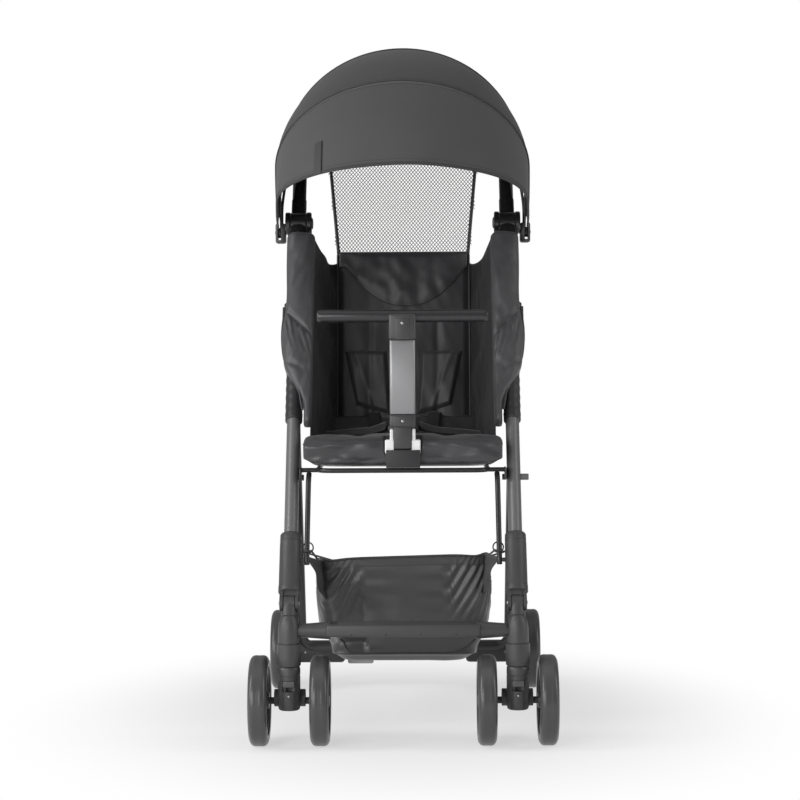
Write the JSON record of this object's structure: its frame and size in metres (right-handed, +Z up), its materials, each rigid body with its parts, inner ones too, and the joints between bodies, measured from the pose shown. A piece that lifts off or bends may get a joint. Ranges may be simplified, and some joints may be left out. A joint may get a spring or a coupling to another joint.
{
  "type": "lightweight stroller",
  "caption": "Lightweight folding stroller with twin front casters, padded seat, netted back, T-shaped bumper bar, hooped canopy and basket.",
  "frame": {"origin": "on the ground, half way between the wheel axles and on the middle plane", "axes": "+Z up, -Y towards the front, +X to the right of someone who looks at the front"},
  "size_m": [0.426, 0.606, 1.0006],
  "materials": {
    "leg_tube": "satin",
    "rear_tube": "satin",
    "handle_tube": "gloss",
    "plastic": "satin",
    "gloss_plastic": "gloss",
    "grey_plastic": "satin",
    "tyre": "satin",
    "rim": "satin",
    "pedal": "satin",
    "foam": "matte",
    "steel": "satin",
    "post": "satin",
    "nylon": "satin",
    "canopy_cloth": "matte",
    "wing_cloth": "matte",
    "seat_cloth": "satin",
    "basket_cloth": "satin",
    "net": "matte"
  },
  "bodies": {
    "chassis": {"leg_tube_left": "leg_tube", "leg_tube_right": "leg_tube", "knee_sleeve_left": "plastic", "knee_sleeve_right": "plastic", "shoulder_left": "gloss_plastic", "shoulder_right": "gloss_plastic", "rear_bracket_left": "plastic", "rear_bracket_right": "plastic", "seat_strut_left": "steel", "seat_strut_right": "steel", "side_wing_left": "wing_cloth", "side_wing_right": "wing_cloth", "canopy_clamp_left": "plastic", "canopy_clamp_right": "plastic", "seat_frame": "steel", "seat_cushion": "seat_cloth", "harness_buckle": "plastic", "bumper_socket": "nylon", "canopy_rear_hoop": "plastic", "canopy_top": "canopy_cloth", "canopy_back": "canopy_cloth", "basket": "basket_cloth"},
    "lower_legs": {"lower_leg_left": "plastic", "lower_leg_right": "plastic", "footrest": "plastic"},
    "caster_left": {"caster_housing_left": "plastic"},
    "lock_left": {"swivel_lock_left": "grey_plastic"},
    "caster_right": {"caster_housing_right": "plastic"},
    "lock_right": {"swivel_lock_right": "grey_plastic"},
    "wheel_front_left_outer": {"front_left_outer_tyre": "tyre", "front_left_outer_rim": "rim"},
    "wheel_front_left_inner": {"front_left_inner_tyre": "tyre", "front_left_inner_rim": "rim"},
    "wheel_front_right_inner": {"front_right_inner_tyre": "tyre", "front_right_inner_rim": "rim"},
    "wheel_front_right_outer": {"front_right_outer_tyre": "tyre", "front_right_outer_rim": "rim"},
    "wheel_rear_left": {"rear_left_tyre": "tyre", "rear_left_rim": "rim"},
    "wheel_rear_right": {"rear_right_tyre": "tyre", "rear_right_rim": "rim"},
    "rear_frame": {"rear_leg_left": "rear_tube", "rear_leg_right": "rear_tube", "rear_axle_beam": "plastic"},
    "pedal": {"brake_pedal": "pedal"},
    "handle": {"handle_tube": "handle_tube", "handle_grip": "foam"},
    "release_left": {"release_button_left": "grey_plastic"},
    "release_right": {"release_button_right": "grey_plastic"},
    "canopy_front": {"canopy_front_hoop": "plastic", "canopy_visor": "canopy_cloth"},
    "backrest": {"backrest_pad": "seat_cloth", "net_window": "net", "shoulder_pad_left": "seat_cloth", "shoulder_pad_right": "seat_cloth"},
    "bumper": {"bumper_hinge": "gloss_plastic", "bumper_post": "post", "bumper_head": "gloss_plastic", "bumper_bar": "gloss_plastic"},
    "buckle": {"buckle_button": "grey_plastic"}
  },
  "joints": [
    {"name": "rear_fold", "type": "hinge", "parent": "chassis", "child": "rear_frame", "pos_m": [0, 0.016, 0.585], "axis": [-1, 0, 0], "range_deg": [0, 42]},
    {"name": "knee_fold", "type": "hinge", "parent": "chassis", "child": "lower_legs", "pos_m": [0, -0.24338, 0.197], "axis": [-1, 0, 0], "range_deg": [0, 100]},
    {"name": "caster_swivel_left", "type": "hinge", "parent": "lower_legs", "child": "caster_left", "pos_m": [-0.157, -0.259, 0.113], "axis": [0, 0, 1], "continuous": true},
    {"name": "swivel_lock_slide_left", "type": "slide", "parent": "caster_left", "child": "lock_left", "axis": [0, 0, -1], "range_m": [0, 0.005]},
    {"name": "front_left_outer_spin", "type": "hinge", "parent": "caster_left", "child": "wheel_front_left_outer", "pos_m": [-0.199, -0.241, 0.06196], "axis": [1, 0, 0], "continuous": true},
    {"name": "front_left_inner_spin", "type": "hinge", "parent": "caster_left", "child": "wheel_front_left_inner", "pos_m": [-0.115, -0.241, 0.06196], "axis": [1, 0, 0], "continuous": true},
    {"name": "caster_swivel_right", "type": "hinge", "parent": "lower_legs", "child": "caster_right", "pos_m": [0.157, -0.259, 0.113], "axis": [0, 0, 1], "continuous": true},
    {"name": "swivel_lock_slide_right", "type": "slide", "parent": "caster_right", "child": "lock_right", "axis": [0, 0, -1], "range_m": [0, 0.005]},
    {"name": "front_right_outer_spin", "type": "hinge", "parent": "caster_right", "child": "wheel_front_right_outer", "pos_m": [0.199, -0.241, 0.06196], "axis": [1, 0, 0], "continuous": true},
    {"name": "front_right_inner_spin", "type": "hinge", "parent": "caster_right", "child": "wheel_front_right_inner", "pos_m": [0.115, -0.241, 0.06196], "axis": [1, 0, 0], "continuous": true},
    {"name": "rear_left_spin", "type": "hinge", "parent": "rear_frame", "child": "wheel_rear_left", "pos_m": [-0.2, 0.241, 0.06196], "axis": [1, 0, 0], "continuous": true},
    {"name": "rear_right_spin", "type": "hinge", "parent": "rear_frame", "child": "wheel_rear_right", "pos_m": [0.2, 0.241, 0.06196], "axis": [1, 0, 0], "continuous": true},
    {"name": "brake_pedal_press", "type": "hinge", "parent": "rear_frame", "child": "pedal", "pos_m": [-0.0725, 0.241, 0.0644], "axis": [-1, 0, 0], "range_deg": [0, 15]},
    {"name": "handle_fold", "type": "hinge", "parent": "chassis", "child": "handle", "pos_m": [0, 0.05987, 0.733], "axis": [-1, 0, 0], "range_deg": [0, 100]},
    {"name": "release_press_left", "type": "slide", "parent": "chassis", "child": "release_left", "axis": [-1, 0, 0], "range_m": [0, 0.0025], "stiffness_N_per_m": 400, "springref_m": -0.001},
    {"name": "release_press_right", "type": "slide", "parent": "chassis", "child": "release_right", "axis": [1, 0, 0], "range_m": [0, 0.0025], "stiffness_N_per_m": 400, "springref_m": -0.001},
    {"name": "canopy_fold", "type": "hinge", "parent": "chassis", "child": "canopy_front", "pos_m": [0, 0.071, 0.7195], "axis": [-1, 0, 0], "range_deg": [0, 36], "deforming": ["canopy_top"]},
    {"name": "backrest_recline", "type": "hinge", "parent": "chassis", "child": "backrest", "pos_m": [0, 0.081, 0.41], "axis": [-1, 0, 0], "range_deg": [0, 13], "deforming": ["canopy_back"]},
    {"name": "bumper_tilt", "type": "hinge", "parent": "chassis", "child": "bumper", "pos_m": [0, -0.171, 0.4215], "axis": [1, 0, 0], "range_deg": [0, 80]},
    {"name": "buckle_press", "type": "slide", "parent": "chassis", "child": "buckle", "axis": [0, 0, -1], "range_m": [0, 0.002], "stiffness_N_per_m": 400, "springref_m": -0.001}
  ],
  "couplings": [
    {"joint": "knee_fold", "follows": "rear_fold", "ratio": 2.38}
  ]
}
